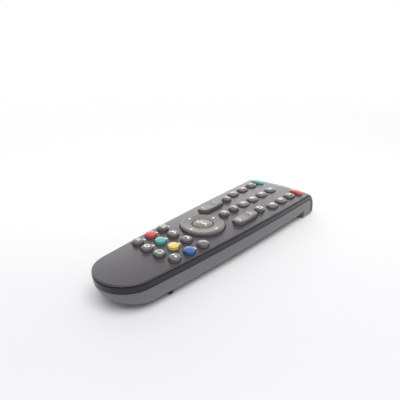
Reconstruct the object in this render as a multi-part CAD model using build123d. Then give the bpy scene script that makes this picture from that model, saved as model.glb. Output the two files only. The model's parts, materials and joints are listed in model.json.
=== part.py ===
from build123d import *
import os
from math import asin, cos, hypot, pi, radians, sin, sqrt, tan

# A handheld remote control that lies on a table on two near feet and a lip under its far end.
# Millimetres. +Y points from the rounded near end to the far end that sends the infrared light,
# +Z points up out of the key face, and the origin is on the table under the middle of the body.

# The body in plan
BODY_LENGTH = 185.0
NEAR_RADIUS = 17.8
TAPER_ANGLE = radians(5.2)
FAR_HALF_WIDTH = 25.3
FAR_END_SAG = 3.6
FAR_CORNER_RADIUS = 2.2
SMALLEST_CORNER = 0.6

# The body's heights above the table
FACE_Z = 18.4
CROWN_DROP = 0.55
COVER_THICKNESS = 1.5
COVER_EDGE_RADIUS = 0.45
GROOVE_HEIGHT = 0.4
GROOVE_DEPTH = 0.8
BAND_HEIGHT = 3.5
ROUND_TOP_Z = 7.9
BELLY_Z = 0.7
LIFTED_NEAR_Z = 4.8
LIFTED_FAR_Z = 5.2
RAMP_BEFORE_BAY_END = 2.3
RAMP_LENGTH = 21.0

# The rounded nose at the far end
NOSE_Z = 4.7
NOSE_REACH = 13.8
STRAIGHT_FROM_FAR = 22.5
UNDER_NOSE_REACH = 2.6
NOSE_STEPS = 5

# Walls and the rounding of the underside
WALL = 1.6
BAND_THICKNESS = 1.2
FLOOR = 1.4
SIDE_ROUND = 8.4
TIP_ROUND = 15.3
UPPER_STEPS = 6
ROUND_STEPS = 6
SKIRT_THICKNESS = 0.95
SKIRT_DEPTH = 4.6
SKIRT_TIP_GAP = 0.8
SKIRT_FROM_FAR = 15.8
SEAM_CLEARANCE = 0.1

# The lip under the far end
LIP_FROM_FAR = 19.0
LIP_ROUND_TOP_Z = 2.6
LIP_SIDE_ROUND = 2.2

# The infrared window round the far end
WINDOW_BOTTOM_Z = 2.6
WINDOW_FROM_FAR = 12.7
WINDOW_LOWER_FROM_FAR = 8.1
WINDOW_CLEARANCE = 0.05

# The stack under the key face, from the cover down
FLANGE_GAP = 0.1
FLANGE_THICKNESS = 0.55
FLANGE_LIP = 0.6
FLANGE_CLEARANCE = 0.2
KEY_TRAVEL = 0.6
KEY_CLEARANCE = 0.25
STEM_RADIUS = 1.8
STEM_CLEARANCE = 0.4
MAT_THICKNESS = 0.6
BOARD_THICKNESS = 1.0
BOARD_DEPTH = 4.5
BOARD_INSET = 2.95
MAT_INSET = 3.05
BOARD_FROM_TIP = 14.6
BOARD_FAR_INSET = 7.6
PAD_RADIUS = 2.0
PAD_THICKNESS = 0.05
PAD_GAP = 0.05

# Key sizes
NUMBER_HALF_WIDTH = 3.4
NUMBER_HALF_LENGTH = 3.9
NUMBER_CORNER = 2.9
NUMBER_PROUD = 1.6
SMALL_RADIUS = 3.15
SMALL_PROUD = 2.4
SMALL_LIP = 0.4
CORNER_KEY_LENGTH = 10.2
CORNER_KEY_WIDTH = 4.6
CORNER_KEY_PROUD = 1.5
CORNER_KEY_TILT = 8.0
CORNER_KEY_LIP = 0.35
DOME_DROP = 0.55
CAP_EDGE_RADIUS = 0.9
RIM_EDGE_RADIUS = 0.5

# Key places, measured from the middle of the navigation ring
RING_FROM_FAR = 105.8
NUMBER_X = 16.4
NUMBER_FIRST_Y = 79.4
NUMBER_PITCH = 11.9
NUMBER_OUTER_DROP = 0.6
ZERO_Y = 44.2
UPPER_SMALL_X = 13.7
UPPER_SMALL_Y = 43.25
MIDDLE_SMALL_Y = 32.7
MIDDLE_SMALL_PITCH = 10.75
CORNER_KEY_X = 16.7
CORNER_KEY_Y = 88.5
LOWER_EDGE_MARGIN = 5.5
LOWER_INNER_SHARE = 1 / 3
LOWER_INNER_Y = -20.8
LOWER_OUTER_Y = -18.8
LOWER_PITCH = 10.84

# Rocker keys
ROCKER_X = 14.0
ROCKER_Y = 25.8
ROCKER_LENGTH = 21.4
ROCKER_WIDTH = 7.4
ROCKER_PROUD = 2.1
ROCKER_CLEARANCE = 0.4
ROCKER_FLANGE_DROP = 0.6
ROCKER_FLANGE_THICKNESS = 0.45
ROCKER_RIB_WIDTH = 1.6
ROCKER_RIB_GAP = 0.2
ROCKER_DISH = 0.25

# The navigation ring, the collar that it rocks on and the middle key
RING_RADIUS = 13.6
RING_CLEARANCE = 0.4
RING_PROUD = 2.0
RING_INNER_DROP = 0.45
RING_EDGE_RADIUS = 1.1
RING_HOLE_RADIUS = 6.9
RING_FLANGE_RADIUS = 14.6
RING_FLANGE_DROP = 0.7
RING_FLANGE_THICKNESS = 0.6
RING_HOLLOW_RADIUS = 12.0
RING_HOLLOW_DROP = 0.2
COLLAR_INNER_RADIUS = 9.2
COLLAR_OUTER_RADIUS = 11.2
COLLAR_GAP = 0.4
MIDDLE_RADIUS = 6.3
MIDDLE_PROUD = 2.3
MIDDLE_FLANGE_RADIUS = 7.8
MIDDLE_FLANGE_DROP = 0.6

# Battery bay, cells and door
CELL_RADIUS = 5.15
CELL_LENGTH = 43.7
CELL_NUB_RADIUS = 1.9
CELL_NUB_LENGTH = 0.8
CELL_CLEARANCE = 0.1
CELL_SPACING = 10.8
SPRING_LENGTH = 1.8
BAY_HALF_WIDTH = 10.8
BAY_FROM_TIP = 15.4
BAY_WALL = 1.1
BAY_CEILING = 0.9
CONTACT_THICKNESS = 0.3
CONTACT_WIDTH = 8.0
CONTACT_HEIGHT = 7.0
SPRING_BASE_RADIUS = 3.2
SPRING_TIP_RADIUS = 2.0
DOOR_HALF_WIDTH = 11.6
DOOR_FROM_TIP = 8.2
DOOR_PAST_BAY = 1.6
DOOR_THICKNESS = 1.4
DOOR_CLEARANCE = 0.1
DOOR_RAIL_WIDTH = 0.5
DOOR_RAIL_THICKNESS = 0.45
GRIP_GROOVES = 6
GRIP_PITCH = 2.0
GRIP_WIDTH = 0.8
GRIP_LENGTH = 12.0
GRIP_DEPTH = 0.35

# Screws and their posts
NEAR_SCREW_FROM_TIP = 11.6
FAR_SCREW_X = 7.5
FAR_SCREW_FROM_RING = 49.0
POST_RADIUS = 2.4
BOSS_RADIUS = 2.0
BOARD_HOLE_CLEARANCE = 0.3
SCREW_RADIUS = 0.95
SCREW_HOLE_CLEARANCE = 0.2
PILOT_CLEARANCE = 0.05
SCREW_HEAD_RADIUS = 1.8
SCREW_HEAD_HEIGHT = 1.2
SCREW_HEAD_CLEARANCE = 0.15
SCREW_SEAT_DEPTH = 2.4
SCREW_REACH = 2.3

# Near feet
FOOT_X = 14.4
FOOT_FROM_TIP = 34.2
FOOT_RADIUS = 1.7

# Pieces under the circuit board, with their places measured from the middle of the navigation ring
LED_RADIUS = 2.5
LED_BODY_LENGTH = 6.0
LED_FROM_FAR = 4.3
LED_RIM_RADIUS = 2.8
LED_RIM_LENGTH = 1.0
LED_LEAD_SPACING = 2.54
LED_LEAD_WIDTH = 0.5
LED_LEAD_LENGTH = 3.0
PART_GAP = 0.05
CHIP_SIZE = (7.5, 17.9, 2.3)
CHIP_PLACE = (0.0, 24.8)
CHIP_LEG_PITCH = 1.27
CHIP_LEG_COUNT = 14
CHIP_LEG_SIZE = (1.4, 0.45, 0.3)
RESONATOR_SIZE = (7.0, 3.0, 4.0)
RESONATOR_PLACE = (12.0, 24.8)
CAPACITOR_RADIUS = 2.5
CAPACITOR_LENGTH = 9.0
CAPACITOR_PLACE = (-12.0, 24.8)
TRANSISTOR_RADIUS = 2.3
TRANSISTOR_LENGTH = 4.6
TRANSISTOR_FLAT = 0.9
TRANSISTOR_PLACE = (9.0, 78.8)
RESISTOR_SIZE = (2.0, 1.25, 0.5)
RESISTOR_PLACES = ((-9.0, 74.8), (-9.0, 78.8), (-9.0, 82.8), (6.0, 70.8), (-14.0, 40.8), (14.0, 40.8))

# Places and heights worked out from the sizes
NEAR_TIP_Y = -BODY_LENGTH / 2
FAR_TIP_Y = BODY_LENGTH / 2
SHOULDER_Y = FAR_TIP_Y - FAR_END_SAG
STRAIGHT_Y = FAR_TIP_Y - STRAIGHT_FROM_FAR
RING_Y = FAR_TIP_Y - RING_FROM_FAR
SKIRT_FAR_Y = FAR_TIP_Y - SKIRT_FROM_FAR
LIP_FRONT_Y = FAR_TIP_Y - LIP_FROM_FAR
BOARD_NEAR_Y = NEAR_TIP_Y + BOARD_FROM_TIP
BAY_NEAR_Y = NEAR_TIP_Y + BAY_FROM_TIP
CELL_ROOM = CELL_LENGTH + CELL_NUB_LENGTH + 2 * CELL_CLEARANCE
BAY_FAR_Y = BAY_NEAR_Y + CELL_ROOM + 2 * CONTACT_THICKNESS + SPRING_LENGTH
RAMP_START_Y = BAY_FAR_Y - RAMP_BEFORE_BAY_END
RAMP_END_Y = RAMP_START_Y + RAMP_LENGTH
DOOR_NEAR_Y = NEAR_TIP_Y + DOOR_FROM_TIP
DOOR_FAR_Y = BAY_FAR_Y + DOOR_PAST_BAY
FOOT_Y = NEAR_TIP_Y + FOOT_FROM_TIP
LED_TIP_Y = FAR_TIP_Y - LED_FROM_FAR
SCREW_PLACES = (
    (0.0, NEAR_TIP_Y + NEAR_SCREW_FROM_TIP),
    (-FAR_SCREW_X, RING_Y + FAR_SCREW_FROM_RING),
    (FAR_SCREW_X, RING_Y + FAR_SCREW_FROM_RING),
)
COVER_UNDER_Z = FACE_Z - COVER_THICKNESS
LIP_UNDER_Z = COVER_UNDER_Z + GROOVE_HEIGHT
RIM_Z = COVER_UNDER_Z - BAND_HEIGHT
BOARD_BOTTOM_Z = FACE_Z - BOARD_DEPTH
BOARD_TOP_Z = BOARD_BOTTOM_Z + BOARD_THICKNESS
MAT_TOP_Z = BOARD_TOP_Z + MAT_THICKNESS
FLANGE_TOP_Z = COVER_UNDER_Z - FLANGE_GAP
FLANGE_BOTTOM_Z = FLANGE_TOP_Z - FLANGE_THICKNESS
STEM_BOTTOM_Z = BOARD_TOP_Z + PAD_THICKNESS + PAD_GAP + KEY_TRAVEL
DOOR_TOP_Z = BELLY_Z + DOOR_THICKNESS
BAY_CEILING_Z = BOARD_BOTTOM_Z - BAY_CEILING
CELL_Z = DOOR_TOP_Z + CELL_CLEARANCE + CELL_RADIUS
CROWN_RADIUS = (FAR_HALF_WIDTH ** 2 + CROWN_DROP ** 2) / (2 * CROWN_DROP)
SKIRT_OUTER_INSET = WALL + SEAM_CLEARANCE
SKIRT_INNER_INSET = SKIRT_OUTER_INSET + SKIRT_THICKNESS
BEYOND = BODY_LENGTH


def far_corners_rounded(edges, side):
    """A closed outline with its two far corners rounded."""
    outline = make_face(edges)
    corners = outline.vertices().sort_by(Axis.Y)[-2:]
    return fillet(corners, max(FAR_CORNER_RADIUS - side, SMALLEST_CORNER))


def plan(side=0.0, tip=None, far=None):
    """The outline seen from above, drawn in from the sides, the near tip and the far end."""
    tip = side if tip is None else tip
    far = side if far is None else far
    radius = NEAR_RADIUS - side + tan(TAPER_ANGLE) * (tip - side)
    centre_y = NEAR_TIP_Y + tip + radius
    flank = (radius * cos(TAPER_ANGLE), centre_y - radius * sin(TAPER_ANGLE))
    straight = (FAR_HALF_WIDTH - side, STRAIGHT_Y)
    shoulder = (FAR_HALF_WIDTH - side, SHOULDER_Y - far)
    near_end = ThreePointArc((-flank[0], flank[1]), (0, centre_y - radius), flank)
    right = TangentArc(flank, straight, tangent=(sin(TAPER_ANGLE), cos(TAPER_ANGLE)))
    right_far = Line(straight, shoulder)
    far_end = ThreePointArc(shoulder, (0, FAR_TIP_Y - far), (-shoulder[0], shoulder[1]))
    left_far, left = mirror(right_far, about=Plane.YZ), mirror(right, about=Plane.YZ)
    return far_corners_rounded([near_end, right, right_far, far_end, left_far, left], side)


def flank_x(y):
    """Half the body's width at a place along it, on the arc that leaves the near end at the taper angle."""
    flank = (NEAR_RADIUS * cos(TAPER_ANGLE), NEAR_TIP_Y + NEAR_RADIUS * (1 - sin(TAPER_ANGLE)))
    run, rise = FAR_HALF_WIDTH - flank[0], STRAIGHT_Y - flank[1]
    radius = hypot(run, rise) ** 2 / (2 * (rise * sin(TAPER_ANGLE) - run * cos(TAPER_ANGLE)))
    centre = (flank[0] - radius * cos(TAPER_ANGLE), flank[1] + radius * sin(TAPER_ANGLE))
    return centre[0] + sqrt(radius ** 2 - (y - centre[1]) ** 2)


def slab(bottom, top, side=0.0, tip=None, far=None):
    """The outline, drawn in and raised from one height to another."""
    return extrude(Pos(0, 0, bottom) * plan(side, tip, far), top - bottom)


def nose(bottom, top, side=0.0):
    """The rounded end past the straight flanks, drawn in towards its top along a quarter ellipse."""
    rise = FACE_Z - NOSE_Z
    half_width = FAR_HALF_WIDTH - side
    first, last = (asin((z - NOSE_Z) / rise) for z in (bottom, top))
    sections = []
    for step in range(NOSE_STEPS + 1):
        angle = first + (last - first) * step / NOSE_STEPS
        far = side + NOSE_REACH * (1 - cos(angle))
        left, right = (-half_width, SHOULDER_Y - far), (half_width, SHOULDER_Y - far)
        sides = Polyline(left, (-half_width, STRAIGHT_Y), (half_width, STRAIGHT_Y), right)
        far_end = ThreePointArc(right, (0, FAR_TIP_Y - far), left)
        outline = far_corners_rounded([sides, far_end], side)
        sections.append(Pos(0, 0, NOSE_Z + rise * sin(angle)) * outline)
    return loft(sections)


def nosed(bottom, top, side=0.0):
    """The outline raised between two heights, with the rounded nose at its far end."""
    return slab(bottom, top, side) - beyond_y(STRAIGHT_Y) + nose(bottom, top, side)


def drawn_in(distance, reach):
    """The share by which a quarter ellipse has turned in, a distance past its start."""
    return 1 - sqrt(1 - (max(distance, 0.0) / reach) ** 2)


def tub(floor_z, round_top, side_round, far_round, wall=0.0):
    """The shape below the face: upright flanks that round in low down, a near tip that sweeps in from
    the cover like a bow, and a far end with the nose above and a tuck below."""
    upright = COVER_UNDER_Z - round_top
    heights = [COVER_UNDER_Z - upright * step / UPPER_STEPS for step in range(UPPER_STEPS)]
    depth = round_top - floor_z
    heights += [round_top - depth * sin(pi / 2 * step / ROUND_STEPS) for step in range(ROUND_STEPS + 1)]
    sections = []
    for z in heights:
        low = drawn_in(round_top - z, depth)
        side = wall + (side_round - wall) * low
        tip = wall + (TIP_ROUND - wall) * drawn_in(COVER_UNDER_Z - z, COVER_UNDER_Z - floor_z)
        far = wall + (far_round - wall) * low + NOSE_REACH * drawn_in(z - NOSE_Z, FACE_Z - NOSE_Z)
        sections.append(Pos(0, 0, z) * plan(side, tip, far))
    return loft(sections)


def block(x_low, x_high, y_low, y_high, z_low, z_high):
    """A box between two corners."""
    centre = Pos((x_low + x_high) / 2, (y_low + y_high) / 2, (z_low + z_high) / 2)
    return centre * Box(x_high - x_low, y_high - y_low, z_high - z_low)


def beyond_y(y_low):
    """Everything past one distance along the body."""
    return block(-BEYOND, BEYOND, y_low, BEYOND, -BEYOND, BEYOND)


def above_z(z_low):
    """Everything over one height."""
    return block(-BEYOND, BEYOND, -BEYOND, BEYOND, z_low, BEYOND)


def post(x, y, radius, bottom, top):
    """An upright round post or hole."""
    return Pos(x, y, bottom) * Cylinder(radius, top - bottom, align=(Align.CENTER, Align.CENTER, Align.MIN))


def lying_rod(x, y, z, radius, length):
    """A round rod along +Y from a point."""
    return Pos(x, y, z) * Rot(-90, 0, 0) * Cylinder(radius, length, align=(Align.CENTER, Align.CENTER, Align.MIN))


def key_round(grow=0.0):
    """The small round keys."""
    return Circle(SMALL_RADIUS + grow)


def key_number(grow=0.0):
    """The number keys: rounded rectangles, nearly oval."""
    return RectangleRounded(2 * (NUMBER_HALF_WIDTH + grow), 2 * (NUMBER_HALF_LENGTH + grow), NUMBER_CORNER + grow)


def key_corner(grow=0.0):
    """The two short pills at the far corners."""
    return SlotOverall(CORNER_KEY_LENGTH + 2 * grow, CORNER_KEY_WIDTH + 2 * grow)


def key_rocker(grow=0.0):
    """The two long rockers, along Y."""
    return Rot(0, 0, 90) * SlotOverall(ROCKER_LENGTH + 2 * grow, ROCKER_WIDTH + 2 * grow)


def key_table():
    """Every plain key by name: outline, x, y, turn, height above the face, lip."""
    keys = {}
    for row in range(3):
        for column in range(3):
            drop = 0.0 if column == 1 else NUMBER_OUTER_DROP
            y = RING_Y + NUMBER_FIRST_Y - row * NUMBER_PITCH - drop
            name = f"key_{3 * row + column + 1}"
            keys[name] = (key_number, (column - 1) * NUMBER_X, y, 0.0, NUMBER_PROUD, FLANGE_LIP)
    keys["key_0"] = (key_number, 0.0, RING_Y + ZERO_Y, 0.0, NUMBER_PROUD, FLANGE_LIP)
    small = {
        "key_source": (-UPPER_SMALL_X, UPPER_SMALL_Y),
        "key_display": (UPPER_SMALL_X, UPPER_SMALL_Y),
        "key_menu": (0.0, MIDDLE_SMALL_Y),
        "key_return": (0.0, MIDDLE_SMALL_Y - MIDDLE_SMALL_PITCH),
    }
    lower_names = (
        ("key_picture", "key_sound", "key_swap", "key_mute"),
        ("key_red", "key_green", "key_yellow", "key_blue"),
        ("key_list", "key_record", "key_page", "key_zoom"),
    )
    for row, names in enumerate(lower_names):
        outer_y = LOWER_OUTER_Y - row * LOWER_PITCH
        outer_x = flank_x(RING_Y + outer_y) - LOWER_EDGE_MARGIN
        inner_x, inner_y = outer_x * LOWER_INNER_SHARE, LOWER_INNER_Y - row * LOWER_PITCH
        places = ((-outer_x, outer_y), (-inner_x, inner_y), (inner_x, inner_y), (outer_x, outer_y))
        small.update(zip(names, places))
    for name, (x, y) in small.items():
        keys[name] = (key_round, x, RING_Y + y, 0.0, SMALL_PROUD, SMALL_LIP)
    for name, hand in (("key_guide", -1), ("key_power", 1)):
        y = RING_Y + CORNER_KEY_Y
        turn = -hand * CORNER_KEY_TILT
        keys[name] = (key_corner, hand * CORNER_KEY_X, y, turn, CORNER_KEY_PROUD, CORNER_KEY_LIP)
    return keys


KEYS = key_table()
ROCKERS = {"rocker_left": -ROCKER_X, "rocker_right": ROCKER_X}
ROCKER_MIDDLE_Y = RING_Y + ROCKER_Y


def domed(outline, bottom, top, reach, drop):
    """An outline raised to a shallow dome that falls by a given drop at a given reach."""
    dome_radius = (reach ** 2 + drop ** 2) / (2 * drop)
    raised = extrude(Pos(0, 0, bottom) * outline, top - bottom)
    cap = raised & (Pos(0, 0, top - dome_radius) * Sphere(dome_radius))
    rim = cap.edges().filter_by(lambda edge: edge.center().Z > top - 3 * drop)
    return fillet(rim, CAP_EDGE_RADIUS)


def plain_key(outline, proud, lip):
    """A hard cap with the flange that keeps it under the cover and the stem that presses the board."""
    half_length = outline().bounding_box().size.Y / 2
    reach = max(half_length, outline().bounding_box().size.X / 2)
    cap = domed(outline(), FLANGE_TOP_Z, FACE_Z + proud, reach, DOME_DROP)
    flange = extrude(Pos(0, 0, FLANGE_BOTTOM_Z) * outline(lip), FLANGE_THICKNESS)
    stem = post(0, 0, STEM_RADIUS, STEM_BOTTOM_Z, FLANGE_BOTTOM_Z)
    return cap + flange + stem


def rocker():
    """A long key that tips about its middle on a rib."""
    top = FACE_Z + ROCKER_PROUD
    flange_top = COVER_UNDER_Z - ROCKER_FLANGE_DROP
    flange_bottom = flange_top - ROCKER_FLANGE_THICKNESS
    raised = extrude(Pos(0, 0, flange_top) * key_rocker(), top - flange_top)
    dish_radius = ((ROCKER_LENGTH / 4) ** 2 + ROCKER_DISH ** 2) / (2 * ROCKER_DISH)
    dish = Pos(0, 0, top + dish_radius - ROCKER_DISH) * Rot(0, 90, 0) * Cylinder(dish_radius, 3 * ROCKER_WIDTH)
    cap = raised - dish
    upper = cap.edges().filter_by(lambda edge: edge.center().Z > top - 3 * ROCKER_DISH)
    rim = upper.filter_by(lambda edge: hypot(edge.center().X, edge.center().Y / 2) > ROCKER_WIDTH / 3)
    cap = fillet(rim, RIM_EDGE_RADIUS)
    flange = extrude(Pos(0, 0, flange_bottom) * key_rocker(FLANGE_LIP), ROCKER_FLANGE_THICKNESS)
    rib_half = ROCKER_RIB_WIDTH / 2
    rib = block(-ROCKER_WIDTH / 2, ROCKER_WIDTH / 2, -rib_half, rib_half, BOARD_TOP_Z + ROCKER_RIB_GAP, flange_bottom)
    return cap + flange + rib


def turned(points_and_arcs):
    """A closed half section, given as edges in the XZ plane, turned about the upright axis."""
    return revolve(make_face(points_and_arcs), Axis.Z)


def nav_ring():
    """The navigation ring: a rounded outer shoulder, a top that falls gently to the middle key."""
    top = FACE_Z + RING_PROUD
    flange_top = COVER_UNDER_Z - RING_FLANGE_DROP
    flange_bottom = flange_top - RING_FLANGE_THICKNESS
    hollow_z = COVER_UNDER_Z - RING_HOLLOW_DROP
    shoulder = (RING_RADIUS, 0, top - RING_EDGE_RADIUS)
    crest = (RING_RADIUS - RING_EDGE_RADIUS, 0, top)
    bend = cos(pi / 4) * RING_EDGE_RADIUS
    shoulder_middle = (RING_RADIUS - RING_EDGE_RADIUS + bend, 0, top - RING_EDGE_RADIUS + bend)
    inner_top = (RING_HOLE_RADIUS, 0, top - RING_INNER_DROP)
    sections = [
        Polyline(
            inner_top,
            (RING_HOLE_RADIUS, 0, hollow_z),
            (RING_HOLLOW_RADIUS, 0, hollow_z),
            (RING_HOLLOW_RADIUS, 0, flange_bottom),
            (RING_FLANGE_RADIUS, 0, flange_bottom),
            (RING_FLANGE_RADIUS, 0, flange_top),
            (RING_RADIUS, 0, flange_top),
            shoulder,
        ),
        ThreePointArc(shoulder, shoulder_middle, crest),
        Line(crest, inner_top),
    ]
    return Pos(0, RING_Y, 0) * turned(sections)


def nav_collar():
    """The collar under the ring that the ring and itself rock on."""
    bottom = BOARD_TOP_Z + COLLAR_GAP
    top = COVER_UNDER_Z - RING_HOLLOW_DROP - COLLAR_GAP
    outer = post(0, RING_Y, COLLAR_OUTER_RADIUS, bottom, top)
    return outer - post(0, RING_Y, COLLAR_INNER_RADIUS, bottom, top)


def middle_key():
    """The round key in the middle of the ring."""
    flange_top = COVER_UNDER_Z - MIDDLE_FLANGE_DROP
    flange_bottom = flange_top - FLANGE_THICKNESS
    cap = domed(Circle(MIDDLE_RADIUS), flange_top, FACE_Z + MIDDLE_PROUD, MIDDLE_RADIUS, DOME_DROP)
    flange = post(0, 0, MIDDLE_FLANGE_RADIUS, flange_bottom, flange_top)
    stem = post(0, 0, STEM_RADIUS, STEM_BOTTOM_Z, flange_bottom)
    return Pos(0, RING_Y, 0) * (cap + flange + stem)


def apertures(bottom, top):
    """The holes in the cover that the keys stand in."""
    holes = post(0, RING_Y, RING_RADIUS + RING_CLEARANCE, bottom, top)
    for outline, x, y, turn, _, _ in KEYS.values():
        holes += extrude(Pos(x, y, bottom) * Rot(0, 0, turn) * outline(KEY_CLEARANCE), top - bottom)
    for x in ROCKERS.values():
        holes += extrude(Pos(x, ROCKER_MIDDLE_Y, bottom) * key_rocker(ROCKER_CLEARANCE), top - bottom)
    return holes


def crown():
    """The shallow crown of the key face: a large cylinder along the body."""
    return Pos(0, 0, FACE_Z - CROWN_RADIUS) * Rot(90, 0, 0) * Cylinder(CROWN_RADIUS, 2 * BEYOND)


def top_cover():
    """The key face with its skirt and screw bosses."""
    plate = slab(LIP_UNDER_Z, FACE_Z) & crown()
    rim = plate.edges().filter_by(lambda edge: edge.center().Z > FACE_Z - CROWN_DROP - COVER_EDGE_RADIUS)
    plate = fillet(rim, COVER_EDGE_RADIUS) - beyond_y(STRAIGHT_Y)
    plate += nose(LIP_UNDER_Z, FACE_Z) & crown()
    plate += nosed(COVER_UNDER_Z, LIP_UNDER_Z, side=GROOVE_DEPTH)
    skirt_bottom = COVER_UNDER_Z - SKIRT_DEPTH
    skirt = slab(skirt_bottom, COVER_UNDER_Z, SKIRT_OUTER_INSET, tip=SKIRT_OUTER_INSET + SKIRT_TIP_GAP)
    skirt -= slab(skirt_bottom, COVER_UNDER_Z, SKIRT_INNER_INSET, tip=SKIRT_INNER_INSET + SKIRT_TIP_GAP)
    skirt -= beyond_y(SKIRT_FAR_Y)
    for outline, x, y, turn, _, flange_lip in KEYS.values():
        well = Pos(x, y, skirt_bottom) * Rot(0, 0, turn) * outline(flange_lip + FLANGE_CLEARANCE)
        skirt -= extrude(well, SKIRT_DEPTH)
    cover = plate + skirt
    for x, y in SCREW_PLACES:
        cover += post(x, y, BOSS_RADIUS, BOARD_BOTTOM_Z, COVER_UNDER_Z)
    cover -= apertures(COVER_UNDER_Z - 1, FACE_Z + 1)
    pilot_top = BOARD_BOTTOM_Z + SCREW_REACH + SEAM_CLEARANCE
    for x, y in SCREW_PLACES:
        cover -= post(x, y, SCREW_RADIUS + PILOT_CLEARANCE, BOARD_BOTTOM_Z, pilot_top)
    return cover


def under_ramp(raise_by=0.0):
    """The space under the lifted far half, below a line that climbs from the battery bay."""
    slope = (LIFTED_FAR_Z - LIFTED_NEAR_Z) / (LIP_FRONT_Y - RAMP_END_Y)
    start = (RAMP_START_Y, BELLY_Z + raise_by)
    end = (RAMP_END_Y, LIFTED_NEAR_Z + raise_by)
    far = (BEYOND, end[1] + slope * (BEYOND - RAMP_END_Y))
    ramp = Spline(start, end, tangents=((1, 0), (1, slope)))
    rest = Polyline(end, far, (BEYOND, -BEYOND), (RAMP_START_Y, -BEYOND), start)
    return extrude(Plane.YZ * make_face([ramp, rest]), BEYOND, both=True)


def body(wall=0.0, floor=0.0):
    """The outer shape below the cover, or with a wall and floor the space inside it."""
    hull = tub(BELLY_Z + floor, ROUND_TOP_Z, SIDE_ROUND, SIDE_ROUND, wall)
    lip = tub(floor, LIP_ROUND_TOP_Z, LIP_SIDE_ROUND + wall, UNDER_NOSE_REACH + wall, wall)
    beyond_lip = beyond_y(LIP_FRONT_Y + wall)
    return hull - (under_ramp(floor) + beyond_lip) + (lip & beyond_lip)


def window_region(clearance=0.0):
    """The space past the grey case: the band's height, turned down past a round corner to the lower edge."""
    band_end = FAR_TIP_Y - WINDOW_FROM_FAR - clearance
    edge = FAR_TIP_Y - WINDOW_LOWER_FROM_FAR - clearance
    corner_top = RIM_Z - clearance
    corner_radius = edge - band_end
    bottom = WINDOW_BOTTOM_Z - clearance
    bend = cos(pi / 4) * corner_radius
    start = (band_end, corner_top)
    middle = (band_end + bend, corner_top - corner_radius + bend)
    end = (edge, corner_top - corner_radius)
    turn = ThreePointArc(start, middle, end)
    rest = Polyline(end, (edge, bottom), (BEYOND, bottom), (BEYOND, BEYOND), (band_end, BEYOND), start)
    return extrude(Plane.YZ * make_face([turn, rest]), BEYOND, both=True)


def ir_window():
    """The dark window that lets the infrared light out."""
    return (body() - body(WALL, FLOOR)) & window_region()


def side_band():
    """The dark band between the face and the case, open where the window is."""
    band = (body() - body(BAND_THICKNESS, FLOOR)) & above_z(RIM_Z)
    return band - beyond_y(FAR_TIP_Y - WINDOW_FROM_FAR - WINDOW_CLEARANCE)


def battery_bay():
    """The bay's walls and ceiling, before the bay itself is cut out."""
    half = BAY_HALF_WIDTH + BAY_WALL
    return block(-half, half, BAY_NEAR_Y - BAY_WALL, BAY_FAR_Y + BAY_WALL, BELLY_Z, BOARD_BOTTOM_Z)


def screw_seat_z(y):
    """The height of the face that a screw's head pulls against."""
    under_door = y < DOOR_FAR_Y
    skin_z = DOOR_TOP_Z if under_door else LIFTED_FAR_Z
    return skin_z + SCREW_SEAT_DEPTH


def bottom_case():
    """The lower shell with the battery bay, screw posts and door rails."""
    hull = body() - above_z(RIM_Z)
    case = hull - body(WALL, FLOOR)
    posts = battery_bay()
    for x, y in SCREW_PLACES:
        posts += post(x, y, POST_RADIUS, BELLY_Z, BOARD_BOTTOM_Z)
    case += posts & hull
    case -= block(-BAY_HALF_WIDTH, BAY_HALF_WIDTH, BAY_NEAR_Y, BAY_FAR_Y, -1, BAY_CEILING_Z)
    for x, y in SCREW_PLACES:
        seat = screw_seat_z(y)
        case -= post(x, y, SCREW_HEAD_RADIUS + SCREW_HEAD_CLEARANCE, -1, seat)
        case -= post(x, y, SCREW_RADIUS + SCREW_HOLE_CLEARANCE, -1, BOARD_BOTTOM_Z)
    recess_half = DOOR_HALF_WIDTH + DOOR_CLEARANCE
    recess_far = DOOR_FAR_Y + DOOR_CLEARANCE
    case -= block(-recess_half, recess_half, -BEYOND, recess_far, -1, DOOR_TOP_Z)
    rail_half = recess_half + DOOR_RAIL_WIDTH
    rail_top = DOOR_TOP_Z - DOOR_CLEARANCE
    rail_bottom = rail_top - DOOR_RAIL_THICKNESS - 2 * DOOR_CLEARANCE
    case -= block(-rail_half, rail_half, -BEYOND, recess_far, rail_bottom, rail_top)
    return case - window_region(WINDOW_CLEARANCE)


def battery_door():
    """The door under the cells: a plate with side rails that slides off towards the near end."""
    top = DOOR_TOP_Z - DOOR_CLEARANCE / 2
    plate = block(-DOOR_HALF_WIDTH, DOOR_HALF_WIDTH, DOOR_NEAR_Y, DOOR_FAR_Y, -1, top)
    rail_half = DOOR_HALF_WIDTH + DOOR_RAIL_WIDTH
    rail_top = DOOR_TOP_Z - 2 * DOOR_CLEARANCE
    plate += block(-rail_half, rail_half, DOOR_NEAR_Y, DOOR_FAR_Y, rail_top - DOOR_RAIL_THICKNESS, rail_top)
    door = plate & body()
    for groove in range(GRIP_GROOVES):
        y = DOOR_FAR_Y - (groove + 2) * GRIP_PITCH
        door -= block(-GRIP_LENGTH / 2, GRIP_LENGTH / 2, y, y + GRIP_WIDTH, -1, BELLY_Z + GRIP_DEPTH)
    return door


def near_feet():
    """Two small rubber feet beside the battery door."""
    hull = body()
    feet = [post(hand * FOOT_X, FOOT_Y, FOOT_RADIUS, 0, ROUND_TOP_Z) - hull for hand in (-1, 1)]
    return Compound([foot.solids().sort_by(Axis.Z)[0] for foot in feet])


def circuit_board():
    """The board under the keys."""
    board = slab(BOARD_BOTTOM_Z, BOARD_TOP_Z, side=BOARD_INSET, far=BOARD_FAR_INSET) & beyond_y(BOARD_NEAR_Y)
    for x, y in SCREW_PLACES:
        board -= post(x, y, BOSS_RADIUS + BOARD_HOLE_CLEARANCE, BOARD_BOTTOM_Z, BOARD_TOP_Z)
    return board


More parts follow.
